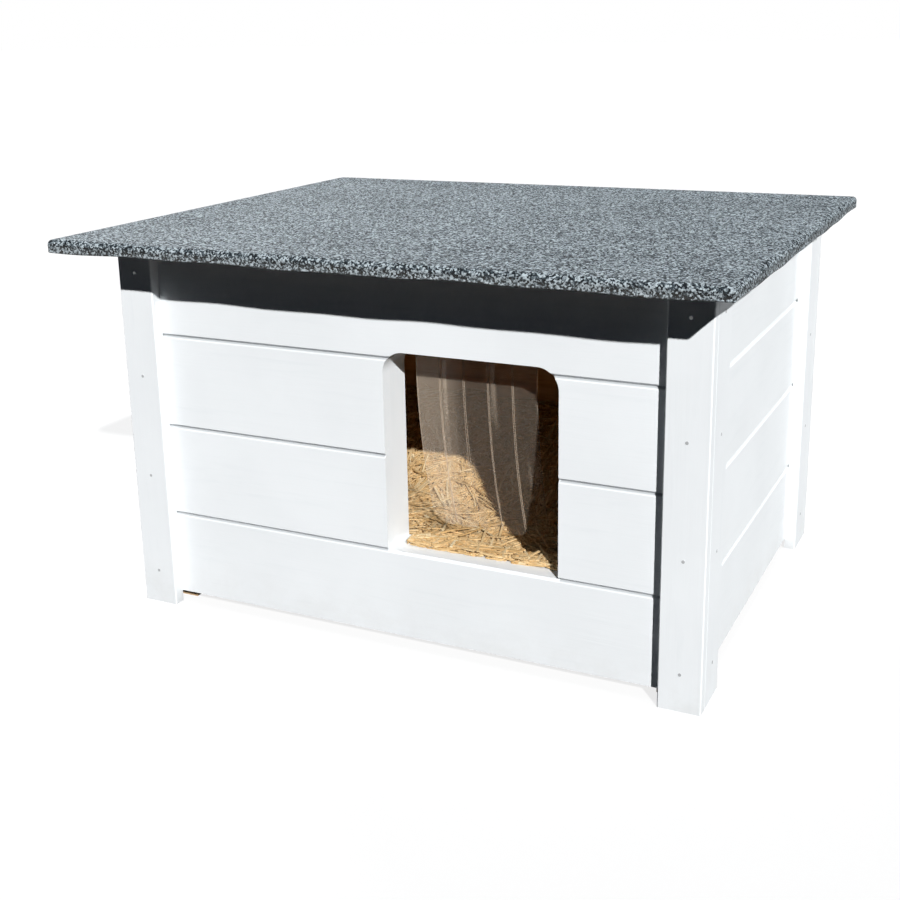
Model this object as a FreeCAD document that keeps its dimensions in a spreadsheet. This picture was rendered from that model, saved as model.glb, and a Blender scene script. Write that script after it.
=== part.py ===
import math
import os

import FreeCAD
import Part
import Sketcher
from FreeCAD import Placement, Rotation, Vector

# An insulated timber pet house: four walls of grooved boards over insulation and an inner
# lining, corner trims that run down as feet, a flat felted roof hinged at the back, and a
# doorway with a clear strip flap. X runs along the front, Y into the house, Z up. The
# origin is on the ground, under the middle of the roof.

driving = {
    # hut, measured over the trims
    "hutWidth": 608, "hutDepth": 465, "wallTop": 386, "footHeight": 12,
    # tongue and groove boards
    "boardThickness": 14, "firstCover": 88, "boardPitch": 96, "grooveBevel": 2.5,
    "tongueInset": 5, "tongueThickness": 4, "tongueLength": 5, "tongueClearance": 0.3,
    # corner trims and posts
    "trimWidth": 40, "sideTrimWidth": 45, "trimThickness": 12, "trimArris": 1, "postSize": 22,
    # layers behind the boards and in the floor
    "liningThickness": 8, "floorSheet": 8, "floorInsulation": 32,
    # doorway
    "doorLeft": -11, "doorWidth": 176, "sillHeight": 100, "doorHeight": 199,
    "doorCorner": 21, "jambThickness": 4,
    # clear strip flap
    "curtainOffset": 12, "stripCount": 5, "stripWidth": 24.6, "stripGap": 0.6,
    "stripThickness": 2, "stripClearance": 10, "stripLean": 34, "pivotDrop": 9,
    "headerHeight": 34, "headerClearance": 0.3, "battenThickness": 12, "battenOverhang": 12,
    "battenLift": 2, "flapScrewInset": 12,
    # roof
    "frontOverhang": 64, "backOverhang": 32, "sideOverhang": 31, "deckThickness": 9.5,
    "feltThickness": 2, "feltReturn": 18,
    # butt hinges
    "leafWidth": 30, "leafLength": 26, "leafThickness": 1.6, "knuckleRadius": 3.2,
    "pinRadius": 1.5, "pinClearance": 0.15, "knuckleGap": 0.4, "hingeScrewInset": 6.6,
    # straw bed
    "strawFront": 38, "strawMiddle": 45, "strawBack": 92, "strawRun": 130, "strawClearance": 1,
    # fasteners
    "nailHead": 1.6, "nailShank": 0.9, "nailProud": 0.3, "nailLength": 10, "nailLow": 36,
    "nailInset": 29, "nailClearance": 8, "screwHead": 2.8, "screwShank": 1.4, "screwSink": 1.4,
    "hingeScrewLength": 9, "flapScrewLength": 19,
}
wallRows = 4
nailRows = 4
headSides = 8
shankSides = 4

doc = FreeCAD.newDocument("PetHouse")
sheet = doc.addObject("Spreadsheet::Sheet", "Sizes")
for row, (alias, number) in enumerate(driving.items(), start=1):
    sheet.set("A%d" % row, alias)
    sheet.set("B%d" % row, str(number))
    sheet.setAlias("B%d" % row, alias)
doc.recompute()


class Size:
    # a length that knows both its number and the formula that gives it from the sheet
    def __init__(self, number, formula=None):
        self.number = float(number)
        self.formula = formula if formula is not None else repr(self.number)

    def combine(self, other, sign, work):
        other = other if isinstance(other, Size) else Size(other)
        formula = "(%s %s %s)" % (self.formula, sign, other.formula)
        return Size(work(self.number, other.number), formula)

    def __add__(self, other):
        return self.combine(other, "+", lambda a, b: a + b)

    def __sub__(self, other):
        return self.combine(other, "-", lambda a, b: a - b)

    def __mul__(self, other):
        return self.combine(other, "*", lambda a, b: a * b)

    def __truediv__(self, other):
        return self.combine(other, "/", lambda a, b: a / b)

    def __neg__(self):
        return Size(0) - self


def given(alias):
    return Size(getattr(sheet, alias), "Sizes.%s" % alias)


def bind(thing, path, size):
    # sets a property now and ties it to the sheet
    setattr(thing, path, size.number)
    thing.setExpression(path, size.formula)


def place(thing, x, y, z, turn=0, about=Vector(0, 0, 1)):
    thing.Placement = Placement(Vector(x.number, y.number, z.number), Rotation(about, turn))
    for axis, size in (("x", x), ("y", y), ("z", z)):
        thing.setExpression("Placement.Base.%s" % axis, size.formula)


nodes = {}


def newBody(name):
    body = doc.addObject("PartDesign::Body", name)
    body.Label = name
    nodes[name] = body
    return body


def addSketch(body, role, name, lift=None):
    sketch = body.newObject("Sketcher::SketchObject", name)
    plane = next(part for part in body.Origin.OriginFeatures if part.Role == role)
    sketch.AttachmentSupport = [(plane, "")]
    sketch.MapMode = "FlatFace"
    if lift is not None:
        sketch.AttachmentOffset = Placement(Vector(0, 0, lift.number), Rotation())
        sketch.setExpression("AttachmentOffset.Base.z", lift.formula)
    return sketch


def addOutline(sketch, corners):
    # Each corner is (across, up, radius, side). The edge that leaves it is straight where
    # radius is None, and else an arc whose centre is to the left of the way (side 1) or to
    # the right of it (side -1). The corners run counter-clockwise.
    first = sketch.GeometryCount
    points = [Vector(across.number, up.number, 0) for across, up, radius, side in corners]
    count = len(corners)
    ends = []
    for index, (across, up, radius, side) in enumerate(corners):
        start = points[index]
        end = points[(index + 1) % count]
        if radius is None:
            sketch.addGeometry(Part.LineSegment(start, end), False)
            ends.append((1, 2))
            continue
        chord = end - start
        rise = max(radius.number ** 2 - chord.Length ** 2 / 4, 0) ** 0.5
        centre = (start + end) * 0.5 + Vector(-chord.y, chord.x, 0).normalize() * rise * side
        low, high = (start, end) if side > 0 else (end, start)
        circle = Part.Circle(centre, Vector(0, 0, 1), radius.number)
        arc = Part.ArcOfCircle(circle, circle.parameter(low), circle.parameter(high))
        sketch.addGeometry(arc, False)
        ends.append((1, 2) if side > 0 else (2, 1))
    for index in range(count):
        after = (index + 1) % count
        joint = (first + index, ends[index][1], first + after, ends[after][0])
        sketch.addConstraint(Sketcher.Constraint("Coincident", *joint))
    for index, (across, up, radius, side) in enumerate(corners):
        corner = (first + index, ends[index][0])
        for kind, size in (("DistanceX", across), ("DistanceY", up)):
            number = sketch.addConstraint(Sketcher.Constraint(kind, -1, 1, *corner, size.number))
            sketch.setExpression("Constraints[%d]" % number, size.formula)
        if radius is not None:
            number = sketch.addConstraint(Sketcher.Constraint("Radius", first + index, radius.number))
            sketch.setExpression("Constraints[%d]" % number, radius.formula)


def straight(points):
    return [(across, up, None, 1) for across, up in points]


def rectangle(left, right, low, high):
    return straight([(left, low), (right, low), (right, high), (left, high)])


def addPad(body, sketch, length, middle=False):
    pad = body.newObject("PartDesign::Pad", body.Name + "_pad")
    pad.Profile = sketch
    bind(pad, "Length", length)
    if middle:
        pad.SideType = "Symmetric"
    sketch.Visibility = False


def addPocket(body, sketch, length=None, upward=False):
    # cuts right through both ways, or by a length on one side of the sketch
    pocket = body.newObject("PartDesign::Pocket", body.Name + "_pocket")
    pocket.Profile = sketch
    if length is None:
        pocket.Type = "ThroughAll"
        pocket.SideType = "Symmetric"
    else:
        bind(pocket, "Length", length)
        pocket.Reversed = upward


def addPrism(name, role, corners, length, middle=False):
    body = newBody(name)
    sketch = addSketch(body, role, name + "_outline")
    addOutline(sketch, corners)
    addPad(body, sketch, length, middle)
    return body


zero = Size(0)
hutWidth = given("hutWidth")
hutDepth = given("hutDepth")
wallTop = given("wallTop")
footHeight = given("footHeight")
boardThickness = given("boardThickness")
boardPitch = given("boardPitch")
trimWidth = given("trimWidth")
sideTrimWidth = given("sideTrimWidth")
trimThickness = given("trimThickness")
postSize = given("postSize")
liningThickness = given("liningThickness")
floorSheet = given("floorSheet")
floorInsulation = given("floorInsulation")
sillHeight = given("sillHeight")
doorHeight = given("doorHeight")
doorCorner = given("doorCorner")
jambThickness = given("jambThickness")
stripThickness = given("stripThickness")
feltThickness = given("feltThickness")
deckThickness = given("deckThickness")
knuckleRadius = given("knuckleRadius")
leafThickness = given("leafThickness")

# planes of the hut, from the roof's overhangs
roofWidth = hutWidth + given("sideOverhang") * 2
roofDepth = given("frontOverhang") + hutDepth + given("backOverhang")
trimFront = given("frontOverhang") - roofDepth / 2
trimBack = trimFront + hutDepth
boardFront = trimFront + trimThickness
boardBack = trimBack - trimThickness
boardSide = hutWidth / 2 - trimThickness
middleDepth = (boardFront + boardBack) / 2
halfDepth = (boardBack - boardFront) / 2
wallThickness = boardThickness + postSize + liningThickness
floorTop = footHeight + floorSheet
panelTop = floorTop + floorInsulation + floorSheet
innerSide = boardSide - wallThickness
innerFront = boardFront + wallThickness
innerBack = boardBack - wallThickness

# Each wall has its own frame: across along the wall, y from the boards' outer face inwards.
# Its entry holds the frame's place and turn, and half the wall's length between its ends.
walls = {
    "front": (zero, boardFront, 0, boardSide),
    "right": (boardSide, middleDepth, 90, halfDepth),
    "back": (zero, boardBack, 180, boardSide),
    "left": (-boardSide, middleDepth, -90, halfDepth),
}


def placeOnWall(thing, wall, across, z):
    x, y, turn, half = walls[wall]
    along = Rotation(Vector(0, 0, 1), turn).multVec(Vector(1, 0, 0))
    place(thing, x + across * round(along.x), y + across * round(along.y), z, turn)


doorLeft = given("doorLeft")
doorRight = doorLeft + given("doorWidth")


def doorOutline(grow, centre):
    # the doorway's outline, with its two upper corners rounded, grown on all sides
    left = doorLeft - grow - centre
    right = doorRight + grow - centre
    low = sillHeight - grow
    high = sillHeight + doorHeight + grow
    radius = doorCorner + grow
    return [
        (left, low, None, 1),
        (right, low, None, 1),
        (right, high - radius, radius, 1),
        (right - radius, high, None, 1),
        (left + radius, high, radius, 1),
        (left, high - radius, None, 1),
    ]


def cutDoorway(body, grow, centre):
    sketch = addSketch(body, "XZ_Plane", body.Name + "_doorway")
    addOutline(sketch, doorOutline(grow, centre))
    addPocket(body, sketch)


def boardSection(row):
    # section of one board: bevelled arrises outside, a slot below and a tongue above
    low = footHeight
    if row > 1:
        low = footHeight + given("firstCover") + boardPitch * (row - 2)
    high = wallTop
    if row < wallRows:
        high = footHeight + given("firstCover") + boardPitch * (row - 1)
    bevel = given("grooveBevel")
    slotFront = given("tongueInset")
    slotBack = slotFront + given("tongueThickness")
    reach = given("tongueLength")
    slack = given("tongueClearance")
    points = [(zero, high), (zero, low), (boardThickness, low)]
    if row > 1:
        points = [(zero, low + bevel), (bevel, low), (slotFront, low), (slotFront, low + reach + slack),
                  (slotBack, low + reach + slack), (slotBack, low), (boardThickness, low)]
        if row == wallRows:
            points = [(zero, high)] + points
    points.append((boardThickness, high))
    if row < wallRows:
        if row == 1:
            points = points[1:]
        points += [(slotBack - slack, high), (slotBack - slack, high + reach),
                   (slotFront + slack, high + reach), (slotFront + slack, high),
                   (bevel, high), (zero, high - bevel)]
    return straight(points)


def makeBoards():
    for wall, (x, y, turn, half) in walls.items():
        inset = zero if wall in ("front", "back") else boardThickness
        for row in range(1, wallRows + 1):
            low, high = -(half - inset), half - inset
            pieces = {"": (low, high)}
            if wall == "front" and 1 < row < wallRows:
                pieces = {"_left": (low, doorLeft + doorCorner), "_right": (doorRight - doorCorner, high)}
            for side, (start, end) in pieces.items():
                name = "%s_board_%d%s" % (wall, row, side)
                board = addPrism(name, "YZ_Plane", boardSection(row), end - start, middle=True)
                centre = (start + end) / 2
                if wall == "front":
                    cutDoorway(board, zero, centre)
                placeOnWall(board, wall, centre, zero)


def makeTrims():
    arris = given("trimArris")
    for wall, (x, y, turn, half) in walls.items():
        onFront = wall in ("front", "back")
        width = trimWidth if onFront else sideTrimWidth
        reach = half + trimThickness if onFront else half
        for end, sign in (("left", -1), ("right", 1)):
            side = end
            if not onFront:
                side = "front" if (sign < 0) == (wall == "right") else "back"
            if wall == "back":
                side = "right" if sign < 0 else "left"
            left, right = -(width / 2), width / 2
            corners = straight([(left, zero), (left, arris - trimThickness),
                                (left + arris, -trimThickness), (right - arris, -trimThickness),
                                (right, arris - trimThickness), (right, zero)])
            trim = addPrism("%s_trim_%s" % (wall, side), "XY_Plane", corners, wallTop)
            placeOnWall(trim, wall, (reach - width / 2) * sign, zero)


def makePosts():
    inX = boardSide - boardThickness - postSize / 2
    inY = halfDepth - boardThickness - postSize / 2
    half = postSize / 2
    for side, signX in (("left", -1), ("right", 1)):
        for end, signY in (("front", -1), ("back", 1)):
            name = "post_%s_%s" % (end, side)
            post = addPrism(name, "XY_Plane", rectangle(-half, half, -half, half), wallTop)
            place(post, inX * signX, middleDepth + inY * signY, zero)


def makeWallLayers():
    # insulation between the posts, and the inner lining over both
    for wall, (x, y, turn, half) in walls.items():
        betweenPosts = half - boardThickness - postSize
        inset = zero if wall in ("front", "back") else liningThickness
        layers = (("insulation", betweenPosts, boardThickness, boardThickness + postSize),
                  ("lining", betweenPosts - inset, boardThickness + postSize, wallThickness))
        for layer, reach, near, far in layers:
            name = "%s_%s" % (wall, layer)
            outline = rectangle(-reach, reach, near, far)
            panel = addPrism(name, "XY_Plane", outline, wallTop - floorTop)
            if wall == "front":
                sketch = addSketch(panel, "XZ_Plane", name + "_doorway")
                outline = doorOutline(jambThickness, zero)
                addOutline(sketch, [(across, up - floorTop, radius, arc)
                                    for across, up, radius, arc in outline])
                addPocket(panel, sketch)
            placeOnWall(panel, wall, zero, floorTop)


def makeDoorwayLining():
    # a thin frame that lines the doorway through the insulation and the inner lining
    body = newBody("doorway_lining")
    sketch = addSketch(body, "XZ_Plane", "doorway_lining_outline")
    addOutline(sketch, doorOutline(jambThickness, zero))
    depth = wallThickness - boardThickness
    addPad(body, sketch, depth, middle=True)
    cutDoorway(body, zero, zero)
    place(body, zero, boardFront + boardThickness + depth / 2, zero)


def makeFloor():
    # the floor's lower sheet is notched round the four posts
    outX = boardSide - boardThickness
    outY = halfDepth - boardThickness
    inX = outX - postSize
    inY = outY - postSize
    corners = [(-inX, -outY), (inX, -outY), (inX, -inY), (outX, -inY), (outX, inY), (inX, inY),
               (inX, outY), (-inX, outY), (-inX, inY), (-outX, inY), (-outX, -inY), (-inX, -inY)]
    base = addPrism("floor_base", "XY_Plane", straight(corners), floorSheet)
    place(base, zero, middleDepth, footHeight)
    half = (innerBack - innerFront) / 2
    inside = rectangle(-innerSide, innerSide, -half, half)
    core = addPrism("floor_insulation", "XY_Plane", inside, floorInsulation)
    place(core, zero, middleDepth, floorTop)
    panel = addPrism("floor_panel", "XY_Plane", inside, floorSheet)
    place(panel, zero, middleDepth, floorTop + floorInsulation)


def makeStraw():
    # the bed lies low behind the sill and is heaped against the back wall
    gap = given("strawClearance")
    run = given("strawRun")
    depth = innerBack - innerFront - gap * 2
    heap = given("strawBack")
    corners = straight([(zero, zero), (depth, zero), (depth, heap), (depth - run / 2, heap),
                        (run, given("strawMiddle")), (zero, strawFront)])
    straw = addPrism("straw_bedding", "YZ_Plane", corners, (innerSide - gap) * 2, middle=True)
    place(straw, zero, innerFront + gap, panelTop)


strawFront = given("strawFront")
stripWidth = given("stripWidth")
stripStep = stripWidth + given("stripGap")
stripTotal = int(sheet.stripCount)
curtainLeft = doorLeft + given("curtainOffset")
curtainWidth = stripStep * stripTotal - given("stripGap")
curtainMiddle = curtainLeft + curtainWidth / 2
pivotHeight = sillHeight + doorHeight - given("pivotDrop")
pivotDepth = innerFront + stripThickness / 2
stripDrop = pivotHeight - panelTop - strawFront - given("stripClearance")
headerLow = pivotHeight + stripThickness / 2 + given("headerClearance")
headerHeight = given("headerHeight")
battenThickness = given("battenThickness")
battenLow = headerLow + given("battenLift")


def makeFlap():
    # A clear sheet is slit into strips below its header. Each strip bends at the header's
    # lower edge: its upper end is round about that line, and it curls inwards on a circle
    # that is upright at the top and passes the given lean at the given drop.
    reach = curtainWidth / 2
    outline = rectangle(-reach, reach, zero, stripThickness)
    header = addPrism("flap_header", "XY_Plane", outline, headerHeight)
    place(header, curtainMiddle, innerFront, headerLow)
    reach = reach + given("battenOverhang")
    outline = rectangle(-reach, reach, zero, battenThickness)
    batten = addPrism("flap_batten", "XY_Plane", outline, headerHeight)
    place(batten, curtainMiddle, innerFront + stripThickness, battenLow)
    lean = given("stripLean")
    half = stripThickness / 2
    curl = (stripDrop * stripDrop + lean * lean) / (lean * 2)
    outer, inner = curl + half, curl - half
    corners = [
        (-half, zero, outer, 1),
        (curl - outer * (curl - lean) / curl, -(outer * stripDrop / curl), None, 1),
        (curl - inner * (curl - lean) / curl, -(inner * stripDrop / curl), inner, -1),
        (half, zero, half, 1),
        (zero, half, half, 1),
    ]
    for index in range(stripTotal):
        strip = addPrism("flap_strip_%d" % (index + 1), "YZ_Plane", corners, stripWidth, middle=True)
        across = curtainLeft + stripWidth / 2 + stripStep * index
        place(strip, across, pivotDepth, pivotHeight)


def makeRoof():
    roofX = roofWidth / 2
    roofY = roofDepth / 2
    deckX = roofX - feltThickness
    deckY = roofY - feltThickness
    deck = addPrism("roof_deck", "XY_Plane", rectangle(-deckX, deckX, -deckY, deckY), deckThickness)
    place(deck, zero, zero, wallTop)
    outline = rectangle(-roofX, roofX, -roofY, roofY)
    felt = addPrism("roof_felt", "XY_Plane", outline, deckThickness + feltThickness * 2)
    mouthX = deckX - given("feltReturn")
    mouthY = deckY - given("feltReturn")
    mouth = addSketch(felt, "XY_Plane", "roof_felt_mouth")
    addOutline(mouth, rectangle(-mouthX, mouthX, -mouthY, mouthY))
    addPocket(felt, mouth, feltThickness, upward=True)
    seat = addSketch(felt, "XY_Plane", "roof_felt_seat", lift=feltThickness)
    addOutline(seat, rectangle(-deckX, deckX, -deckY, deckY))
    addPocket(felt, seat, deckThickness, upward=True)
    place(felt, zero, zero, wallTop - feltThickness)


leafWidth = given("leafWidth")
leafLength = given("leafLength")
knuckleGap = given("knuckleGap")
pinRadius = given("pinRadius")
hingeDepth = trimBack + knuckleRadius
hingeHeight = wallTop - feltThickness - knuckleRadius
hingeAcross = hutWidth / 2 - trimWidth / 2
hingeSides = (("left", -1), ("right", 1))


def addBox(name, x, y, z, length, width, height):
    box = doc.addObject("Part::Box", name)
    for path, size in (("Length", length), ("Width", width), ("Height", height)):
        bind(box, path, size)
    place(box, x, y, z)
    return box


def addRod(name, x, y, z, radius, length):
    # a cylinder along X from x
    rod = doc.addObject("Part::Cylinder", name)
    bind(rod, "Radius", radius)
    bind(rod, "Height", length)
    place(rod, x, y, z, 90, Vector(0, 1, 0))
    return rod


def makeLeaf(name, left, knuckles, wallLeaf):
    # a leaf's plate starts clear of the barrel and reaches it only at its own knuckles
    start = knuckleRadius + knuckleGap
    if wallLeaf:
        plate = (left, hingeDepth - knuckleRadius, hingeHeight - leafLength)
        pieces = [addBox(name + "_plate", *plate, leafWidth, leafThickness, leafLength - start)]
    else:
        plate = (left, hingeDepth + start, hingeHeight + knuckleRadius - leafThickness)
        pieces = [addBox(name + "_plate", *plate, leafWidth, leafLength - start, leafThickness)]
    for index, (near, far) in enumerate(knuckles):
        tag = "%s_%d" % (name, index)
        x = left + near
        pieces.append(addRod(tag + "_knuckle", x, hingeDepth, hingeHeight, knuckleRadius, far - near))
        if wallLeaf:
            corner = (x, hingeDepth - knuckleRadius, hingeHeight - start)
            web = addBox(tag + "_web", *corner, far - near, leafThickness, start)
        else:
            corner = (x, hingeDepth, hingeHeight + knuckleRadius - leafThickness)
            web = addBox(tag + "_web", *corner, far - near, start, leafThickness)
        pieces.append(web)
    solid = doc.addObject("Part::MultiFuse", name + "_solid")
    solid.Shapes = pieces
    hole = pinRadius if wallLeaf else pinRadius + given("pinClearance")
    bore = addRod(name + "_bore", left, hingeDepth, hingeHeight, hole, leafWidth)
    leaf = doc.addObject("Part::Cut", name)
    leaf.Base = solid
    leaf.Tool = bore
    leaf.Label = name
    leaf.Refine = True
    nodes[name] = leaf


def makeHinges():
    third = leafWidth / 3
    outerKnuckles = ((zero, third - knuckleGap), (third * 2 + knuckleGap, leafWidth))
    middleKnuckle = ((third, third * 2),)
    pins = []
    for side, sign in hingeSides:
        left = hingeAcross * sign - leafWidth / 2
        makeLeaf("hinge_%s_wall_leaf" % side, left, outerKnuckles, True)
        makeLeaf("hinge_%s_roof_leaf" % side, left, middleKnuckle, False)
        pins.append(addRod("hinge_%s_pin" % side, left, hingeDepth, hingeHeight, pinRadius, leafWidth))
    pair = doc.addObject("Part::Compound", "hinge_pins")
    pair.Links = pins
    pair.Label = "hinge_pins"
    nodes["hinge_pins"] = pair


def screw(spot, direction, length):
    # a countersunk head that narrows into its shank, along the direction it is driven
    cone = Part.makeCone(sheet.screwHead, sheet.screwShank, sheet.screwSink, spot, direction)
    rod = Part.makeCylinder(sheet.screwShank, length, spot, direction)
    return cone.fuse(rod).removeSplitter()


def peg(sides, radius, spot, direction, length):
    # a prism of a few sides, from a spot along a direction
    turn = Rotation(Vector(0, 0, 1), direction)
    angles = [math.tau * (index + 0.5) / sides for index in range(sides + 1)]
    ring = [Vector(math.cos(angle), math.sin(angle), 0) * radius for angle in angles]
    outline = Part.makePolygon([spot + turn.multVec(point) for point in ring])
    return Part.Face(outline).extrude(direction * length)


def addFasteners(name, solids):
    group = doc.addObject("Part::Feature", name)
    group.Shape = Part.makeCompound(solids)
    group.Label = name
    nodes[name] = group


def makeScrews():
    wallSide = []
    roofSide = []
    half = (leafWidth / 2 - given("hingeScrewInset")).number
    plate = (leafLength.number + knuckleRadius.number) / 2
    back = (trimBack + leafThickness).number
    face = (hingeHeight + knuckleRadius - leafThickness).number
    for side, sign in hingeSides:
        for step in (-half, half):
            x = hingeAcross.number * sign + step
            outer = Vector(x, back, hingeHeight.number - plate)
            under = Vector(x, hingeDepth.number + plate, face)
            wallSide.append(screw(outer, Vector(0, -1, 0), sheet.hingeScrewLength))
            roofSide.append(screw(under, Vector(0, 0, 1), sheet.hingeScrewLength))
    addFasteners("hinge_roof_screws", roofSide)
    inside = innerFront + stripThickness + battenThickness
    height = battenLow + headerHeight / 2
    reach = curtainWidth / 2 - given("flapScrewInset")
    for step in (-1, 0, 1):
        spot = Vector((curtainMiddle + reach * step).number, inside.number, height.number)
        wallSide.append(screw(spot, Vector(0, -1, 0), sheet.flapScrewLength))
    addFasteners("wall_screws", wallSide)


def makeNails():
    # a row of nails up the middle of every trim, their heads just proud of the paint; the
    # highest ones on the back wall stop below the hinges
    nails = []
    low = sheet.nailLow
    for wall, (x, y, turn, half) in walls.items():
        high = (wallTop - given("nailInset")).number
        if wall == "back":
            high = (hingeHeight - leafLength - given("nailClearance")).number
        onFront = wall in ("front", "back")
        width = trimWidth if onFront else sideTrimWidth
        reach = half + trimThickness if onFront else half
        rotation = Rotation(Vector(0, 0, 1), turn)
        inward = rotation.multVec(Vector(0, 1, 0))
        for sign in (-1, 1):
            for row in range(nailRows):
                across = (reach - width / 2).number * sign
                up = low + (high - low) * row / (nailRows - 1)
                spot = rotation.multVec(Vector(across, -trimThickness.number, up))
                spot += Vector(x.number, y.number, 0)
                head = peg(headSides, sheet.nailHead, spot, -inward, sheet.nailProud)
                shank = peg(shankSides, sheet.nailShank, spot, inward, sheet.nailLength)
                nails.append(head.fuse(shank))
    addFasteners("trim_nails", nails)


makeBoards()
makeTrims()
makePosts()
makeWallLayers()
makeDoorwayLining()
makeFloor()
makeStraw()
makeFlap()
makeRoof()
makeHinges()
makeScrews()
makeNails()
doc.recompute()

for thing in doc.Objects:
    if "Invalid" in thing.State or "Error" in thing.State:
        raise RuntimeError("%s did not rebuild: %s" % (thing.Name, thing.State))
for name, thing in nodes.items():
    if thing.Shape.isNull() or not thing.Shape.isValid() or not thing.Shape.Solids:
        raise RuntimeError("%s has no sound solid" % name)

os.makedirs("parts", exist_ok=True)
for name, thing in nodes.items():
    thing.Shape.exportStep("parts/%s.step" % name)
print("%d nodes written" % len(nodes))
whole = FreeCAD.BoundBox()
for thing in nodes.values():
    whole.add(thing.Shape.BoundBox)
print("size %.1f x %.1f x %.1f" % (whole.XLength, whole.YLength, whole.ZLength))
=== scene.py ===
import math

import bmesh
import bpy
import numpy as np
from mathutils import Matrix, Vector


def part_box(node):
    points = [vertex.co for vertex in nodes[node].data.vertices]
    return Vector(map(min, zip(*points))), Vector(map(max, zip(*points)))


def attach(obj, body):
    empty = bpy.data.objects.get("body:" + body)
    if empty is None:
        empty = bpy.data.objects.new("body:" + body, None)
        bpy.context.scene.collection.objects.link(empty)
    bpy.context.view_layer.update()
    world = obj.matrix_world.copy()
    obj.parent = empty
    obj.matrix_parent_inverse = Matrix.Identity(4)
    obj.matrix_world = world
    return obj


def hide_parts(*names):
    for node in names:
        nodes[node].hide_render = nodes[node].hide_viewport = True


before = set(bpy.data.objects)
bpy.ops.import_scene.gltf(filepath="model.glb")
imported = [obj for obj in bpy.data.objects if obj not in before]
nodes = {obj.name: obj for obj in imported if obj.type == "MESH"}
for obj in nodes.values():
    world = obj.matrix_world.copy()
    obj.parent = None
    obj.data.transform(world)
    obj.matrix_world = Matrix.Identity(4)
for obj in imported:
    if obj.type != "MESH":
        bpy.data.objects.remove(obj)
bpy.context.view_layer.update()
print("frame loaded:", len(nodes), "nodes")


# shader helpers

class Wire:
    # a socket that does sums: each operator adds one Math node and gives its output
    def __init__(self, owner, socket):
        self.owner = owner
        self.socket = socket

    def work(self, operation, *values):
        inputs = dict(enumerate(values))
        return self.owner.add("ShaderNodeMath", {"operation": operation}, inputs)

    def __add__(self, other):
        return self.work("ADD", self, other)

    def __radd__(self, other):
        return self.work("ADD", other, self)

    def __sub__(self, other):
        return self.work("SUBTRACT", self, other)

    def __rsub__(self, other):
        return self.work("SUBTRACT", other, self)

    def __mul__(self, other):
        return self.work("MULTIPLY", self, other)

    def __rmul__(self, other):
        return self.work("MULTIPLY", other, self)

    def __truediv__(self, other):
        return self.work("DIVIDE", self, other)

    def larger(self, other):
        return self.work("MAXIMUM", self, other)

    def floor(self):
        return self.work("FLOOR", self)

    def fraction(self):
        return self.work("FRACT", self)

    def size(self):
        return self.work("ABSOLUTE", self)

    def above(self, edge, softness):
        # 0 well below the edge, 1 well above it, and a smooth step between
        settings = {"interpolation_type": "SMOOTHSTEP"}
        inputs = {"Value": self, "From Min": edge - softness, "From Max": edge + softness}
        return self.owner.add("ShaderNodeMapRange", settings, inputs)

    def spread(self, low, high):
        # a 0..1 value carried to low..high
        inputs = {"Value": self, "To Min": low, "To Max": high}
        return self.owner.add("ShaderNodeMapRange", {}, inputs)


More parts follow.
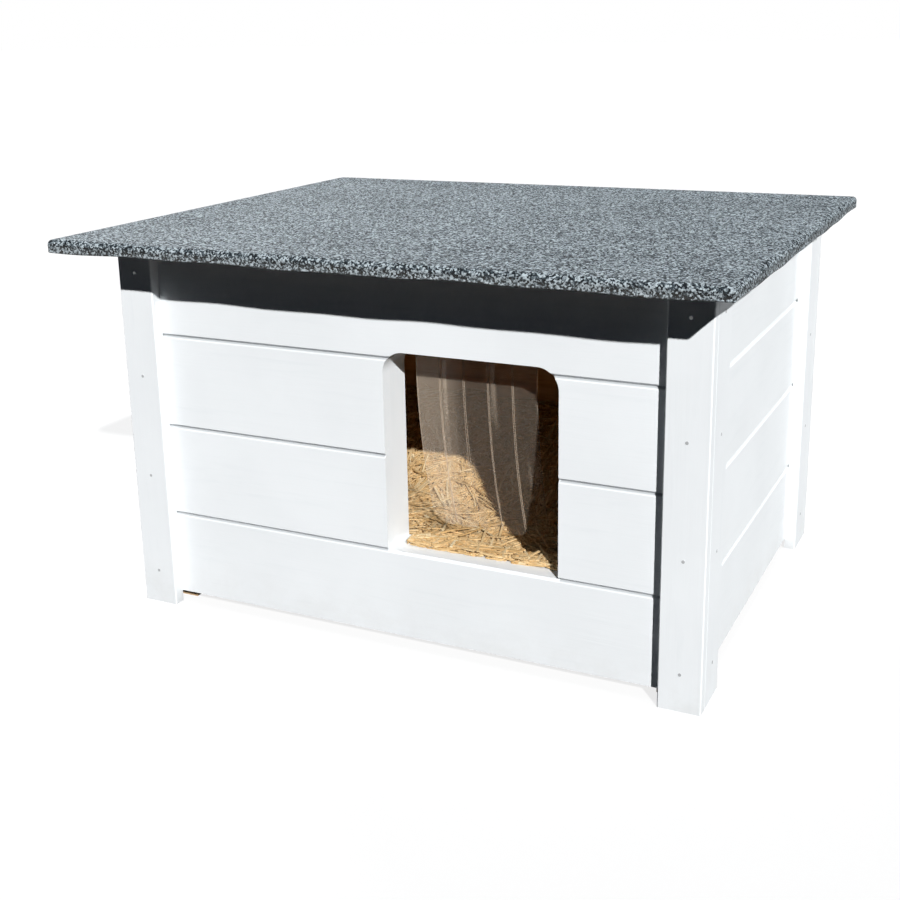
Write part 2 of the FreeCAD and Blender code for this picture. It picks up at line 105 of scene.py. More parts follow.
class Look:
    # the node tree of a material or of the world
    def __init__(self, owner):
        self.owner = owner
        owner.use_nodes = True
        self.tree = owner.node_tree
        self.tree.nodes.clear()

    def add(self, kind, settings=None, inputs=None, output=0):
        # one node of any kind: its settings first, then a value or a link for each socket
        node = self.tree.nodes.new(kind)
        for setting, value in (settings or {}).items():
            if setting == "stops":
                ramp = node.color_ramp
                while len(ramp.elements) < len(value):
                    ramp.elements.new(0.5)
                for element, (position, colour) in zip(ramp.elements, value):
                    element.position = position
                    element.color = (*colour, 1)
            else:
                setattr(node, setting, value)
        for socket, value in (inputs or {}).items():
            if isinstance(value, Wire):
                self.tree.links.new(value.socket, node.inputs[socket])
            else:
                node.inputs[socket].default_value = value
        return None if output is None else Wire(self, node.outputs[output])

    def seen(self):
        # 1 to the camera and to glossy and clear surfaces, 0 to the light that bounces about
        camera, glossy, clear = (self.add("ShaderNodeLightPath", output="Is %s Ray" % kind)
                                 for kind in ("Camera", "Glossy", "Transmission"))
        return camera.larger(glossy).larger(clear)

    def place(self):
        return self.add("ShaderNodeTexCoord", output="Object")

    def scaled(self, vector, x, y, z):
        inputs = {0: vector, 1: (x, y, z)}
        return self.add("ShaderNodeVectorMath", {"operation": "MULTIPLY"}, inputs)

    def drawnOut(self, vector, way, factor):
        # squeezed by the factor except along the way, so that a pattern on it runs long that way
        return self.scaled(vector, *(1.0 if axis == way else factor for axis in "xyz"))

    def shifted(self, vector, amount, direction):
        # the vector moved by a varying amount in a fixed direction
        inputs = {0: direction, "Scale": amount}
        step = self.add("ShaderNodeVectorMath", {"operation": "SCALE"}, inputs)
        return self.add("ShaderNodeVectorMath", {"operation": "ADD"}, {0: vector, 1: step})

    def part(self, vector, axis):
        return self.add("ShaderNodeSeparateXYZ", {}, {0: vector}, output=axis)

    def noise(self, vector, scale, detail=3.0, roughness=0.55, distortion=0.0):
        inputs = {"Vector": vector, "Scale": scale, "Detail": detail,
                  "Roughness": roughness, "Distortion": distortion}
        return self.add("ShaderNodeTexNoise", {}, inputs)

    def cells(self, vector, scale, output="Distance"):
        return self.add("ShaderNodeTexVoronoi", {}, {"Vector": vector, "Scale": scale}, output)

    def blend(self, factor, first, second, way="MIX"):
        # mixes two colours; a plain tuple is a fixed colour
        colours = [c if isinstance(c, Wire) else (*c, 1) for c in (first, second)]
        settings = {"data_type": "RGBA", "blend_type": way}
        inputs = {0: factor, 6: colours[0], 7: colours[1]}
        return self.add("ShaderNodeMix", settings, inputs, output=2)

    def ramp(self, value, stops):
        return self.add("ShaderNodeValToRGB", {"stops": stops}, {0: value})

    def bump(self, height, depth, below=None):
        # below is the normal of a coarser bump that this one goes on top of
        inputs = {"Height": height, "Distance": depth, "Strength": 1.0}
        if below is not None:
            inputs["Normal"] = below
        return self.add("ShaderNodeBump", {}, inputs)


class Finish(Look):
    # one material with a Principled surface: fixed numbers and colours stand on its own
    # sockets, and feed links what changes over the surface
    def __init__(self, name, **fixed):
        super().__init__(bpy.data.materials.new(name))
        self.fixed = fixed

    def feed(self, **sockets):
        values = self.fixed | sockets
        inputs = {name.replace("_", " "): value for name, value in values.items()}
        surface = self.add("ShaderNodeBsdfPrincipled", {}, inputs)
        self.add("ShaderNodeOutputMaterial", {}, {"Surface": surface}, output=None)
        return self.owner


# finishes

paintLook = {
    "bright": (0.875, 0.900, 0.915), "dull": (0.835, 0.860, 0.875), "dirt": (0.62, 0.61, 0.58),
    "patchScale": 7.0, "roughness": (0.34, 0.52), "specular": 0.06,
    "grainStretch": 14.0, "grainScale": 9.0, "grainTone": 0.14, "grainDepth": 0.00014,
    "brushStretch": 60.0, "brushScale": 12.0, "brushDepth": 0.00006,
    "splashScale": 30.0, "splashTone": 0.18, "splashHeight": 0.035,
    "boardPitch": 0.096, "firstEdge": 0.004, "boardShift": 0.731,
    # colour and widths of the painted shade along the grooves
    "groove": (0.20, 0.215, 0.23), "grooveHalf": 0.0014, "grooveFade": 0.0009,
    "grooveShade": {"x": 0.58, "y": 0.22},
    "doorMiddle": 0.077, "doorHalf": 0.089, "doorTop": 0.28,
}


def paintedWood(way):
    # grain and brush marks are noise drawn out along the wood, and each row of boards is
    # shifted by its own number of steps, so that no grain runs over a groove. Along each groove
    # the paint is greyed as painted shade, stronger on the front and back walls than on the
    # sides, but not on the cut edges round the doorway. Near the ground there are splashes of dirt.
    look = paintLook
    finish = Finish("whitePaint_" + way, Specular_IOR_Level=look["specular"])
    place = spot = finish.place()
    height = finish.part(place, "Z")
    groove = None
    if way != "z":
        rows = (height - look["firstEdge"]) / look["boardPitch"]
        apart = ((rows + 0.5).fraction() - 0.5).size() * look["boardPitch"]
        aside = (finish.part(place, "X") - look["doorMiddle"]).size()
        front = 1 - finish.part(place, "Y").above(0.0, 0.01)
        low = 1 - height.above(look["doorTop"], 0.001)
        doorway = (1 - aside.above(look["doorHalf"], 0.001)) * front * low
        groove = (1 - apart.above(look["grooveHalf"], look["grooveFade"])) * (1 - doorway)
        spot = finish.shifted(place, rows.floor() * look["boardShift"], (1.0, 1.0, 0.37))
    drawn = finish.drawnOut(spot, way, look["grainStretch"])
    grain = finish.noise(drawn, look["grainScale"], detail=5.0, roughness=0.6, distortion=0.6)
    drawn = finish.drawnOut(spot, way, look["brushStretch"])
    brush = finish.noise(drawn, look["brushScale"], detail=2.0, roughness=0.5)
    patch = finish.noise(spot, look["patchScale"], detail=4.0, roughness=0.6)
    drops = finish.noise(place, look["splashScale"], detail=5.0, roughness=0.7).above(0.52, 0.16)
    splash = (1 - height.above(look["splashHeight"], look["splashHeight"])) * drops
    colour = finish.blend(patch.above(0.5, 0.22), look["bright"], look["dull"])
    lines = grain.above(0.63, 0.10) * look["grainTone"]
    colour = finish.blend(lines, colour, look["dull"], "MULTIPLY")
    colour = finish.blend(splash * look["splashTone"], colour, look["dirt"])
    # painted shade: the paint is greyed along the grooves, where shade falls in them
    if groove:
        colour = finish.blend(groove * look["grooveShade"][way], colour, look["groove"])
    roughness = grain.spread(*look["roughness"])
    normal = finish.bump(brush, look["brushDepth"], finish.bump(grain, look["grainDepth"]))
    return finish.feed(Base_Color=colour, Roughness=roughness, Normal=normal)


feltLook = {
    "dark": (0.010, 0.013, 0.016), "mid": (0.060, 0.080, 0.094), "pale": (0.50, 0.57, 0.61),
    "worn": (0.16, 0.14, 0.12), "darkUpTo": 0.27, "midAt": 0.50, "paleFrom": 0.80,
    "granuleScale": 640.0, "granuleTone": 0.82, "granuleDepth": 0.0007,
    "coarseShare": 0.72, "coarseTone": 0.66, "darker": 0.25, "patchScale": 9.0, "patchTone": 0.22,
    "wornTone": 0.9, "wornBrown": 0.35, "edgeTop": 0.3925, "edgeFade": 0.003,
    "roughness": 0.9, "specular": 0.10,
}


def mineralFelt():
    # crushed stone pressed into felt: cells with a tone each, bare dark felt between them;
    # round the edge of the deck the stone is worn, browner and patchier
    look = feltLook
    finish = Finish("mineralFelt", Roughness=look["roughness"], Specular_IOR_Level=look["specular"])
    spot = finish.place()
    scale = look["granuleScale"]
    cell = finish.cells(spot, scale)
    tone = finish.part(finish.cells(spot, scale, "Color"), "X")
    coarse = finish.noise(spot, scale * look["coarseShare"], detail=3.0, roughness=0.7)
    patch = finish.noise(spot, look["patchScale"], detail=5.0, roughness=0.6)
    worn = 1 - finish.part(spot, "Z").above(look["edgeTop"], look["edgeFade"])
    shade = tone * look["granuleTone"] + coarse * look["coarseTone"] - look["darker"]
    shade = shade + (patch - 0.5) * look["patchTone"] + (coarse - 0.5) * worn * look["wornTone"]
    stops = [(look["darkUpTo"], look["dark"]), (look["midAt"], look["mid"]),
             (look["paleFrom"], look["pale"])]
    colour = finish.blend(worn * look["wornBrown"] * patch, finish.ramp(shade, stops), look["worn"])
    height = (1 - cell) * 0.6 + coarse * 0.7
    return finish.feed(Base_Color=colour, Normal=finish.bump(height, look["granuleDepth"]))


woodLook = {
    "lining": ((0.86, 0.58, 0.31), (0.67, 0.41, 0.19)),
    "timber": ((0.62, 0.43, 0.25), (0.47, 0.29, 0.15)),
    "ringStretch": 16.0, "ringScale": 5.0, "ringTone": 0.8,
    "poreStretch": 40.0, "poreScale": 26.0, "poreTone": 0.35,
    # painted shade for the part of the roof board that stands out past the walls
    "overhangShade": (0.055, 0.060, 0.068), "overhangShadeShare": 0.92,
    "wallHalf": (0.304, 0.2325), "wallMiddle": 0.016, "wallFade": 0.003,
    "roughness": (0.5, 0.72), "grainDepth": 0.00025,
}


def bareWood(name, tones, way, overhang=False):
    # rings are noise drawn out along the wood, with fine pores drawn out further; a roof
    # board is darkened as painted shade where it stands out past the walls, so that the
    # overhang's underside throws little light onto the shadow on the wall below it
    look = woodLook
    finish = Finish(name)
    spot = finish.place()
    drawn = finish.drawnOut(spot, way, look["ringStretch"])
    rings = finish.noise(drawn, look["ringScale"], detail=5.0, roughness=0.62, distortion=0.9)
    drawn = finish.drawnOut(spot, way, look["poreStretch"])
    pores = finish.noise(drawn, look["poreScale"], detail=3.0, roughness=0.6)
    pale, dark = tones
    colour = finish.blend(rings.above(0.54, 0.26) * look["ringTone"], pale, dark)
    colour = finish.blend(pores.above(0.62, 0.08) * look["poreTone"], colour, dark, "MULTIPLY")
    # painted shade: the overhang past the walls is darkened, not weathered
    if overhang:
        wallX, wallY = look["wallHalf"]
        across = finish.part(spot, "X").size().above(wallX, look["wallFade"])
        fromMiddle = (finish.part(spot, "Y") - look["wallMiddle"]).size()
        outside = across.larger(fromMiddle.above(wallY, look["wallFade"]))
        colour = finish.blend(outside * look["overhangShadeShare"], colour, look["overhangShade"])
    roughness = pores.spread(*look["roughness"])
    normal = finish.bump(rings * 0.6 + pores, look["grainDepth"])
    return finish.feed(Base_Color=colour, Roughness=roughness, Normal=normal)


foamLook = {
    "shade": (0.80, 0.78, 0.66), "pale": (0.88, 0.87, 0.79), "shadeScale": 30.0,
    "beadScale": 260.0, "beadDepth": 0.0008, "roughness": 0.85,
}


def foamBoard():
    # pressed beads: round cells raised at their rims, in a slowly changing cream
    look = foamLook
    finish = Finish("foamBoard", Roughness=look["roughness"])
    spot = finish.place()
    beads = finish.cells(spot, look["beadScale"])
    colour = finish.blend(finish.noise(spot, look["shadeScale"]), look["shade"], look["pale"])
    return finish.feed(Base_Color=colour, Normal=finish.bump(beads, look["beadDepth"]))


clearLook = {
    "tint": (0.93, 0.76, 0.59), "cover": 0.040, "hazeAndSheen": 0.16, "edgeHighlight": 0.30, "leftHaze": 0.09,
    "firstEdge": 0.0007, "pitch": 0.0252, "edgeAt": 0.955, "edgeFade": 0.035,
    "leftUpTo": 0.040, "leftFade": 0.018, "rippleScale": 14.0, "rippleDepth": 0.0024,
    "roughness": (0.08, 0.30), "bending": 1.52,
}


def clearSheet():
    # clear soft sheet: mostly see-through, with hazy streaks that run down each strip and
    # also stand in for pale reflections (painted reflection), and a pale line at its cut
    # edges that is a painted highlight; the strips nearest the jamb are hazier
    look = clearLook
    finish = Finish("clearSheet", Base_Color=(*look["tint"], 1), IOR=look["bending"])
    spot = finish.place()
    across = finish.part(spot, "X")
    phase = ((across - look["firstEdge"]) / look["pitch"]).fraction()
    edge = (phase * 2 - 1).size().above(look["edgeAt"], look["edgeFade"])
    left = 1 - across.above(look["leftUpTo"], look["leftFade"])
    drawn = finish.scaled(spot, 60.0, 5.0, 5.0)
    hazeAndSheenStreak = finish.noise(drawn, 1.0, detail=3.0, roughness=0.5, distortion=0.4).above(0.60, 0.10)
    ripple = finish.noise(finish.scaled(spot, 3.0, 1.0, 1.0), look["rippleScale"], detail=2.0)
    # painted highlight at the cut edges and painted reflection in the streaks, both given as more
    # cover
    alpha = hazeAndSheenStreak * look["hazeAndSheen"] + edge * look["edgeHighlight"] + left * look["leftHaze"]
    alpha = alpha + look["cover"]
    roughness = hazeAndSheenStreak.spread(*look["roughness"])
    normal = finish.bump(ripple, look["rippleDepth"])
    return finish.feed(Alpha=alpha, Roughness=roughness, Normal=normal)


steelLook = {
    "zincSteel": {"colour": (0.66, 0.67, 0.69), "metallic": 1.0, "roughness": 0.36},
    "nailHeads": {"colour": (0.50, 0.51, 0.52), "metallic": 0.3, "roughness": 0.5},
    "spangleScale": 230.0, "scratchStretch": 18.0, "scratchScale": 90.0, "scratchDepth": 0.00006,
    "dulled": 0.72, "uneven": 0.14,
}


def platedSteel(name):
    # flat flecks of zinc with a tone and a gloss each, and fine scratches along x
    look, own = steelLook, steelLook[name]
    finish = Finish(name, Metallic=own["metallic"])
    spot = finish.place()
    fleck = finish.part(finish.cells(spot, look["spangleScale"], "Color"), "X")
    drawn = finish.drawnOut(spot, "x", look["scratchStretch"])
    scratch = finish.noise(drawn, look["scratchScale"], detail=3.0, roughness=0.6)
    dull = tuple(channel * look["dulled"] for channel in own["colour"])
    tone = finish.blend(fleck * 0.6 + scratch * 0.3, own["colour"], dull)
    rough = fleck * look["uneven"] + scratch * look["uneven"] + (own["roughness"] - look["uneven"])
    normal = finish.bump(scratch, look["scratchDepth"])
    return finish.feed(Base_Color=tone, Roughness=rough, Normal=normal)


strawLook = {
    "tones": [(0.0, (0.38, 0.225, 0.09)), (0.35, (0.62, 0.405, 0.18)),
              (0.7, (0.75, 0.55, 0.30)), (1.0, (0.83, 0.71, 0.47))],
    "fibreScale": 420.0, "fibreTone": 0.24, "stalkTone": 0.8, "fibreDepth": 0.0002,
    "roughness": 0.55, "specular": 0.3,
}


def looseStraw():
    # each stalk keeps the tone that its mesh carries, and fine fibres streak it
    look = strawLook
    finish = Finish("looseStraw", Roughness=look["roughness"], Specular_IOR_Level=look["specular"])
    tone = finish.add("ShaderNodeAttribute", {"attribute_name": "stalkTone"}, output="Fac")
    fibre = finish.noise(finish.place(), look["fibreScale"], detail=2.0, roughness=0.6)
    colour = finish.ramp(tone * look["stalkTone"] + fibre * look["fibreTone"], look["tones"])
    return finish.feed(Base_Color=colour, Normal=finish.bump(fibre, look["fibreDepth"]))


whitePaint = {way: paintedWood(way) for way in "xyz"}
feltFinish = mineralFelt()
liningWood = {way: bareWood("liningWood_" + way, woodLook["lining"], way) for way in "xyz"}
timber = {way: bareWood("bareTimber_" + way, woodLook["timber"], way) for way in "xz"}
deckWood = bareWood("deckWood", woodLook["timber"], "x", overhang=True)
foam = foamBoard()
clearFinish = clearSheet()
zincSteel = platedSteel("zincSteel")
nailSteel = platedSteel("nailHeads")
strawFinish = looseStraw()

# a node takes the first finish whose words its name holds
nodeFinishes = [
    ("insulation", foam), ("floor_", timber["x"]), ("doorway_lining", whitePaint["z"]),
    ("front_lining", liningWood["z"]), ("back_lining", liningWood["x"]),
    ("lining", liningWood["y"]), ("post_", timber["z"]), ("batten", timber["x"]),
    ("trim_nails", nailSteel), ("_trim_", whitePaint["z"]), ("left_board", whitePaint["y"]),
    ("right_board", whitePaint["y"]), ("_board_", whitePaint["x"]), ("roof_deck", deckWood),
    ("roof_felt", feltFinish), ("flap_", clearFinish), ("straw", strawFinish),
    ("hinge", zincSteel), ("screws", zincSteel),
]
for name, node in nodes.items():
    finish = next(finish for word, finish in nodeFinishes if word in name)
    node.data.materials.clear()
    node.data.materials.append(finish)
print("finishes made:", len(bpy.data.materials))


# meshes from arrays

def gridFaces(rows, columns, closeColumns=False, offset=0):
    # the four corner numbers of every cell of a grid numbered row by row
    row = np.arange(rows - 1)[:, None]
    column = np.arange(columns if closeColumns else columns - 1)[None, :]
    after = (column + 1) % columns
    here, above = row * columns, (row + 1) * columns
    corners = [here + column, here + after, above + after, above + column]
    return np.stack(corners, -1).reshape(-1, 4) + offset


def makePiece(name, points, blocks, finish, smooth=True, joinWithin=0.0):
    # blocks are lists of faces, each given by its corner numbers; points nearer to each
    # other than joinWithin become one, which closes the seams
    mesh = bpy.data.meshes.new(name)
    faces = [face for block in blocks for face in block.tolist()]
    mesh.from_pydata(points.reshape(-1, 3), [], faces)
    if joinWithin:
        shell = bmesh.new()
        shell.from_mesh(mesh)
        bmesh.ops.remove_doubles(shell, verts=shell.verts, dist=joinWithin)
        shell.to_mesh(mesh)
        shell.free()
    mesh.materials.append(finish)
    mesh.polygons.foreach_set("use_smooth", np.full(len(mesh.polygons), smooth))
    mesh.update()
    piece = bpy.data.objects.new(name, mesh)
    bpy.context.scene.collection.objects.link(piece)
    return piece


def nodeBox(name):
    # the low and the high corner of a CAD node
    return (np.array(corner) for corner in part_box(name))


def slowWaves(along, waves):
    # a half plus a sum of sines: each has its height, its turning per metre and its start
    total = 0.5
    for height, turning, start in waves:
        total = total + height * np.sin(along * turning + start)
    return total


# roofing felt

feltShape = {
    "rounding": 0.0055, "roundingSteps": 7, "lowerRounding": 0.0012, "planCorner": 0.0030,
    "returnWidth": 0.018, "thickness": 0.002, "hangFrom": 0.15, "hangTo": 0.95, "hangSteps": 5,
    "sag": 0.0010, "sagFlatness": 8, "perSide": 150, "perCorner": 7, "wayLength": 0.3,
    "lift": 0.0020, "liftWaves": ((0.25, 61, 0.0), (0.25, 23, 1.0)),
    "belly": 0.0012, "bellyWaves": ((0.3, 37, 2.0), (0.2, 90, 0.0)), "bellyEnd": 0.9,
    "joinWithin": 1e-6,
}


def perimeter(shape):
    # runs round a rectangle: corner signs that slide along the sides, and the outward way
    side = np.linspace(-1, 1, shape["perSide"], endpoint=False)
    turn = np.linspace(0, math.pi / 2, shape["perCorner"], endpoint=False)
    places, ways = [], []
    for quarter in range(4):
        spin = quarter * math.pi / 2
        c, s = round(math.cos(spin)), round(math.sin(spin))
        places.append(np.stack([c - s * side, s + c * side], -1))
        ways.append(np.tile((c, s), (len(side), 1)))
        places.append(np.tile((c - s, s + c), (len(turn), 1)))
        ways.append(np.stack([np.cos(turn + spin), np.sin(turn + spin)], -1))
    return np.concatenate(places), np.concatenate(ways)


def feltTop(shape, halfX, halfY, top):
    # a grid that sags by a slow swell, and less and less towards its edges
    count = shape["perSide"] + 1
    u, v = np.meshgrid(np.linspace(-1, 1, count), np.linspace(-1, 1, count))
    window = (1 - u ** shape["sagFlatness"]) * (1 - v ** shape["sagFlatness"])
    swell = np.sin(u * 5.1 + 0.6) * np.sin(v * 4.3 + 1.1) + 0.6 * np.sin(u * 11.3 + v * 7.9)
    z = top - shape["sag"] * window * (0.5 + 0.31 * swell)
    r = shape["rounding"]
    return np.stack([u * (halfX - r), v * (halfY - r), z], -1), gridFaces(count, count)


def feltSkirt(shape, halfX, halfY, top, bottom):
    # a profile carried round the deck: it rounds the edge, hangs down, turns under the deck
    # and comes back along the deck's own faces to its top. Its hanging part bellies in and
    # its lower edge rises and falls by slow sines along the way.
    place, way = perimeter(shape)
    steps = np.hypot(*np.diff(place, axis=0, prepend=place[:1]).T)
    along = np.cumsum(steps) * shape["wayLength"]
    angle = np.linspace(0, math.pi / 2, shape["roundingSteps"])
    hang = np.linspace(shape["hangFrom"], shape["hangTo"], shape["hangSteps"])
    r, lowR = shape["rounding"], shape["lowerRounding"]
    under, thick, full = shape["returnWidth"], shape["thickness"], top - bottom
    span = full - r - lowR
    inset = np.concatenate([r - r * np.sin(angle), 0 * hang, lowR - lowR * np.cos(angle),
                            [under, under, thick, thick]])
    drop = np.concatenate([r - r * np.cos(angle), r + span * hang, r + span + lowR * np.sin(angle),
                           [full, full - thick, full - thick, thick]])
    hanging = np.arange(len(drop)) < len(drop) - 4
    fall = np.clip((drop - r) / span, 0, 1)
    lift = shape["lift"] * slowWaves(along, shape["liftWaves"])
    belly = shape["belly"] * slowWaves(along, shape["bellyWaves"])
    bow = np.sin(fall * math.pi * shape["bellyEnd"]) * hanging
    inset = inset[None] + belly[:, None] * bow[None]
    radius = np.maximum(shape["planCorner"] - inset, 0)
    x = place[:, :1] * (halfX - inset - radius) + way[:, :1] * radius
    y = place[:, 1:] * (halfY - inset - radius) + way[:, 1:] * radius
    z = top - drop[None] + lift[:, None] * (fall * hanging)[None]
    z = np.where(hanging[None], z, np.maximum(z, bottom))
    return np.stack([x, y, z], -1).transpose(1, 0, 2)


def roofFelt(shape):
    # the top, the skirt that starts at its edge, and one flat face that closes the sheet
    # where the skirt ends on the deck
    low, high = nodeBox("roof_felt")
    sheet, sheetFaces = feltTop(shape, high[0], high[1], high[2])
    skirt = feltSkirt(shape, high[0], high[1], high[2], low[2])
    points = np.concatenate([sheet.reshape(-1, 3), skirt.reshape(-1, 3)])
    rings, around = skirt.shape[:2]
    skirtFaces = gridFaces(rings, around, True, len(points) - rings * around)[:, ::-1]
    lastRing = np.arange(len(points) - around, len(points))
    blocks = [sheetFaces, skirtFaces, lastRing[None, ::-1]]
    return makePiece("feltCover", points, blocks, feltFinish, joinWithin=shape["joinWithin"])


feltCover = roofFelt(feltShape)
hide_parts("roof_felt")
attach(feltCover, "roof")
print("felt laid")


# clear strips

stripShape = {
    "drop": 0.1885, "lean": 0.036, "reach": 0.995, "halfThickness": 0.001, "thinned": 0.9,
    "lowerCorner": 0.006, "outerCorner": 0.020, "edgeRounding": 0.0007,
    "cup": 0.0012, "cupOdd": 1.0, "cupEven": -0.7, "sway": 0.0016, "swayTurn": 2.3, "swayX": 0.25,
    "rows": 60, "edgePoints": 5,
}


def clearStrip(number, shape):
    # a rounded rectangle carried down the strip's own circle. The strip narrows round its
    # lower corners, cups a little across and sways a little more the lower it hangs.
    low, high = nodeBox("flap_strip_%d" % number)
    half = (high[0] - low[0]) / 2
    thick = shape["halfThickness"]
    pivotY, pivotZ = low[1] + thick, high[2] - thick
    lean, drop = shape["lean"], shape["drop"]
    curl = (drop ** 2 + lean ** 2) / (2 * lean)
    reach = math.asin(min(drop / curl, 1)) * shape["reach"]
    length = reach * curl
    t = np.linspace(0, 1, shape["rows"])
    narrowing = []
    for outer in (number == 1, number == 5):
        corner = shape["outerCorner"] if outer else shape["lowerCorner"]
        toEnd = np.clip(1 - (1 - t) * length / corner, 0, 1)
        narrowing.append(corner * (1 - np.sqrt(np.maximum(1 - toEnd ** 2, 0))))
    # the small extra turn keeps every point of the section off its two axes
    turn = np.linspace(0, 2 * math.pi, 4 * shape["edgePoints"], endpoint=False) + 0.01
    cornerX, cornerY = np.sign(np.cos(turn)), np.sign(np.sin(turn))
    edge = shape["edgeRounding"]
    narrow = np.where(cornerX[None] < 0, narrowing[0][:, None], narrowing[1][:, None])
    x = cornerX[None] * (half - narrow - edge) + edge * np.cos(turn)[None]
    deep = cornerY * (thick * shape["thinned"] - edge) + edge * np.sin(turn)
    side = shape["cupOdd"] if number % 2 else shape["cupEven"]
    cup = shape["cup"] * (x / half) ** 2 * t[:, None] * side
    sway = shape["sway"] * math.sin(number * shape["swayTurn"]) * t[:, None] ** 2
    theta = t[:, None] * reach
    radial = curl - deep[None] - cup * 0.5
    y = np.maximum(pivotY + curl - radial * np.cos(theta), pivotY - thick)
    z = pivotZ - radial * np.sin(theta)
    x = x + sway * shape["swayX"] + (low[0] + half)
    rings = np.stack([x, y, z], -1)
    rows, around = rings.shape[:2]
    # each end is closed by a ladder of four-cornered faces across the section
    rung = np.arange(around // 2 - 1)
    cap = np.stack([rung, rung + 1, around - 2 - rung, around - 1 - rung], -1)
    blocks = [gridFaces(rows, around, True)[:, ::-1], cap, cap[:, ::-1] + (rows - 1) * around]
    return makePiece("clearStrip_%d" % number, rings, blocks, clearFinish)


for number in range(1, 6):
    strip = clearStrip(number, stripShape)
    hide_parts("flap_strip_%d" % number)
    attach(strip, "flap_strip_%d" % number)
print("strips hung")


# straw bed

strawShape = {
    "seed": 11, "stalks": 3400, "lengths": (0.035, 0.115), "width": 0.0013, "widths": (0.6, 1.25),
    "flat": 0.6, "rings": 5, "bend": 0.10, "tilt": 0.06, "tiltRange": (-0.004, 0.005),
    "lift": 0.006, "tone": (0.55, 0.22), "moundTone": 0.18, "moundPoints": 90,
    "spilled": 420, "spilledLengths": (0.012, 0.045),
    "sillRoom": ((0.0005, 0.1635), (-0.1860, -0.1560)), "sillEdge": -0.1605, "sillTop": 0.1003,
    "frontTop": 0.086, "middleTop": 0.088, "backTop": 0.147,
    "frontAt": -0.16, "middleAt": -0.030, "backAt": 0.120, "endAt": 0.20,
    "lumps": 0.0030, "settled": 0.0075, "wallGap": 0.002, "lowest": 0.063, "roofGap": 0.002,
    "overSill": 0.108, "overFront": 0.098, "overMiddle": 0.105, "overBack": 0.152,
    "sillStep": 0.001, "heapStep": 0.0065, "stalkStep": 0.0003,
}
stalkSides = 4  # stays four, because a stalk's ends are single faces like its sides


def bedHeight(x, y, shape):
    # the bed's height: low behind the sill, rising to the heap at the back, with lumps; in
    # front of the inner wall it is the straw that has spilled over the sill
    stations = [shape["frontAt"], shape["middleAt"], shape["backAt"], shape["endAt"]]
    levels = [shape["frontTop"], shape["middleTop"], shape["backTop"], shape["backTop"]]
    level = np.interp(y, stations, levels) - shape["settled"]
    lumps = np.sin(x * 31 + 1.3) * np.sin(y * 27 + 0.4) + 0.6 * np.sin(x * 67 + y * 41)
    lumps = lumps + 0.4 * np.sin(y * 103 - x * 71)
    return np.where(y < shape["sillEdge"], shape["sillTop"], level + shape["lumps"] * lumps)


def drapedStalks(rng, count, rangeX, rangeY, lengths, shape):
    # each stalk is a four-sided tube of a few rings: bent a little sideways, laid over the
    # bed's height at every ring, lifted by a height of its own and kept under the bed's box
    centreX, centreY = rng.uniform(*rangeX, count), rng.uniform(*rangeY, count)
    heading = rng.uniform(0, math.pi, count)
    length = rng.uniform(*lengths, count)
    bend = rng.normal(0, shape["bend"], count)
    step = np.linspace(-0.5, 0.5, shape["rings"])
    run = step[None] * length[:, None]
    aside = bend[:, None] * (step[None] ** 2 - 0.1) * length[:, None] * 2
    x = centreX[:, None] + run * np.cos(heading)[:, None] - aside * np.sin(heading)[:, None]
    y = centreY[:, None] + run * np.sin(heading)[:, None] + aside * np.cos(heading)[:, None]
    x, y = np.clip(x, *rangeX), np.clip(y, *rangeY)
    tilt = rng.normal(0, shape["tilt"], count)[:, None] * run
    lift = rng.uniform(0, shape["lift"], count)[:, None] + np.clip(tilt, *shape["tiltRange"])
    stations = [shape["sillEdge"] - shape["sillStep"], shape["sillEdge"], shape["middleAt"],
                shape["backAt"] + shape["heapStep"], shape["endAt"]]
    ceilings = [shape[over] for over in
                ("overSill", "overFront", "overMiddle", "overBack", "overBack")]
    limit = np.interp(y, stations, ceilings)
    onSill = shape["sillTop"] + shape["stalkStep"]
    lowest = np.where(y < shape["sillEdge"], onSill, shape["lowest"])
    z = np.clip(bedHeight(x, y, shape) + lift, lowest, limit - shape["roofGap"])
    half = (rng.uniform(*shape["widths"], count) * shape["width"])[:, None, None]
    corner = np.arange(stalkSides) * math.pi / 2 + math.pi / 4
    wide, tall = np.cos(corner)[None, None], shape["flat"] * np.sin(corner)[None, None]
    ringX = x[..., None] - np.sin(heading)[:, None, None] * wide * half
    ringY = y[..., None] + np.cos(heading)[:, None, None] * wide * half
    ringZ = z[..., None] + tall * half
    tone = np.clip(rng.normal(*shape["tone"], count), 0, 1)
    points = np.stack([ringX, ringY, ringZ], -1).reshape(-1, 3)
    return points, np.repeat(tone, shape["rings"] * stalkSides)


def tubeFaces(count, shape):
    # the sides and the two ends of every stalk
    each = shape["rings"] * stalkSides
    ends = [range(stalkSides - 1, -1, -1), range(each - stalkSides, each)]
    one = np.concatenate([gridFaces(shape["rings"], stalkSides, True), ends])
    return (one[None] + np.arange(count)[:, None, None] * each).reshape(-1, stalkSides)


def mound(shape, low, high, start):
    # the bed's surface as a grid, whose edge goes down to the floor and is closed there
    size = shape["moundPoints"]
    x, y = np.meshgrid(np.linspace(low[0], high[0], size), np.linspace(low[1], high[1], size))
    top = np.stack([x, y, bedHeight(x, y, shape)], -1).reshape(-1, 3)
    edge = np.concatenate([np.arange(size), np.arange(1, size) * size + size - 1,
                           size * (size - 1) + np.arange(size - 2, -1, -1),
                           np.arange(size - 2, 0, -1) * size])
    foot = top[edge].copy()
    foot[:, 2] = low[2]
    base = start + size * size
    here = np.arange(len(edge))
    after = (here + 1) % len(edge)
    skirt = np.stack([edge[after] + start, edge[here] + start, here + base, after + base], -1)
    blocks = [gridFaces(size, size, False, start), skirt, (here + base)[None, ::-1]]
    return np.concatenate([top, foot]), blocks


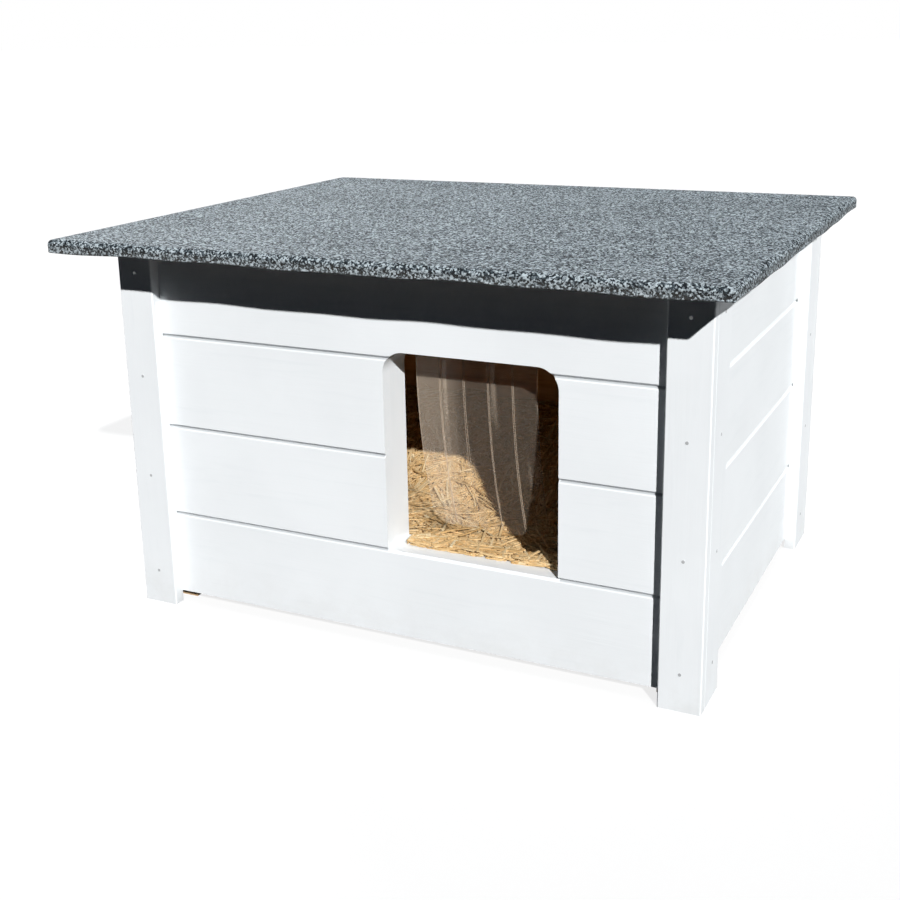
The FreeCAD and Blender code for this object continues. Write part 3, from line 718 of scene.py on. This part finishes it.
def strawBed(shape):
    # loose stalks over a lumpy mound, each stalk with a tone of its own
    low, high = nodeBox("straw_bedding")
    rng = np.random.default_rng(shape["seed"])
    gap = shape["wallGap"]
    room = ((low[0] + gap, high[0] - gap), (low[1] + gap, high[1] - gap))
    inside = drapedStalks(rng, shape["stalks"], *room, shape["lengths"], shape)
    sill = (*shape["sillRoom"], shape["spilledLengths"])
    spilled = drapedStalks(rng, shape["spilled"], *sill, shape)
    tubes = np.concatenate([inside[0], spilled[0]])
    hill, hillFaces = mound(shape, low, high, len(tubes))
    blocks = [tubeFaces(shape["stalks"] + shape["spilled"], shape), *hillFaces]
    tone = np.concatenate([inside[1], spilled[1], np.full(len(hill), shape["moundTone"])])
    points = np.concatenate([tubes, hill])
    piece = makePiece("strawBed", points, blocks, strawFinish, smooth=False)
    piece.data.attributes.new("stalkTone", "FLOAT", "POINT").data.foreach_set("value", tone)
    return piece


bed = strawBed(strawShape)
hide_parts("straw_bedding")
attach(bed, "hut")
print("straw spread")


# floor, light and camera

stageLook = {
    "halfSize": 40.0, "glow": 0.80, "seenFloor": (0.22, 0.22, 0.22),
    "darkFloor": (0.003, 0.004, 0.006),
}


def paleFloor(look):
    # white to the camera with a faint shadow, and dark to the light that would bounce off it
    half = look["halfSize"]
    points = np.array([(-half, -half, 0), (half, -half, 0), (half, half, 0), (-half, half, 0)])
    finish = Finish("paleFloor", Roughness=1.0, Specular_IOR_Level=0.0, Emission_Strength=1.0)
    seen = finish.seen()
    colour = finish.blend(seen, look["darkFloor"], look["seenFloor"])
    glow = finish.blend(seen, (0, 0, 0), (look["glow"],) * 3)
    paint = finish.feed(Base_Color=colour, Emission_Color=glow)
    floor = makePiece("floor", points, [np.array([[0, 1, 2, 3]])], paint, smooth=False)


skyLook = {"seen": 1.0, "fill": 0.022, "tint": (0.50, 0.70, 1.0)}


def paleSky(look):
    # white to the camera and to glossy and clear surfaces, dim and bluish as a light
    world = bpy.data.worlds.new("paleSky")
    bpy.context.scene.world = world
    sky = Look(world)
    seen = sky.seen()
    level = seen.spread(look["fill"], look["seen"])
    colour = sky.blend(seen, look["tint"], (1, 1, 1))
    glow = sky.add("ShaderNodeBackground", {}, {"Color": colour, "Strength": level})
    sky.add("ShaderNodeOutputWorld", {}, {"Surface": glow}, output=None)


# azimuth turns from the front to the right, elevation is up, both in degrees
lamps = {
    "key": {"azimuth": 39.5, "elevation": 30.0, "strength": 4.65, "size": 1.0,
            "colour": (1.0, 1.0, 1.0)},
    "sideFill": {"azimuth": 112.0, "elevation": 24.0, "strength": 0.50, "size": 20.0,
                 "colour": (0.96, 0.99, 1.0)},
    "backFill": {"azimuth": 225.0, "elevation": 16.0, "strength": 3.8, "size": 25.0,
                 "colour": (0.95, 0.98, 1.0)},
}


def hangLamps(lamps):
    # each lamp is far off, so only its direction counts
    for name, look in lamps.items():
        lamp = bpy.data.lights.new(name, "SUN")
        lamp.energy = look["strength"]
        lamp.angle = math.radians(look["size"])
        lamp.color = look["colour"]
        holder = bpy.data.objects.new(name, lamp)
        tilt, turn = math.radians(90 - look["elevation"]), math.radians(look["azimuth"])
        holder.rotation_euler = (tilt, 0, turn)
        bpy.context.scene.collection.objects.link(holder)


cameraLook = {
    "place": (0.5550, -1.2186, 0.5876), "turn": 26.057, "tilt": -15.320, "roll": -1.055,
    "lens": 51.42, "sensor": 36, "shiftUp": -0.0778,
}


def standCamera(look):
    # turned about the upright, then tilted from level, then rolled about its own view
    lens = bpy.data.cameras.new("photoView")
    lens.lens = look["lens"]
    lens.sensor_width = look["sensor"]
    lens.shift_y = look["shiftUp"]
    camera = bpy.data.objects.new("photoView", lens)
    turn = Matrix.Rotation(math.radians(look["turn"]), 4, "Z")
    tilt = Matrix.Rotation(math.radians(90 + look["tilt"]), 4, "X")
    roll = Matrix.Rotation(math.radians(look["roll"]), 4, "Z")
    camera.matrix_world = Matrix.Translation(look["place"]) @ turn @ tilt @ roll
    bpy.context.scene.collection.objects.link(camera)
    bpy.context.scene.camera = camera


paleFloor(stageLook)
paleSky(skyLook)
hangLamps(lamps)
standCamera(cameraLook)
bpy.context.scene.view_settings.view_transform = "Standard"
print("stage ready")
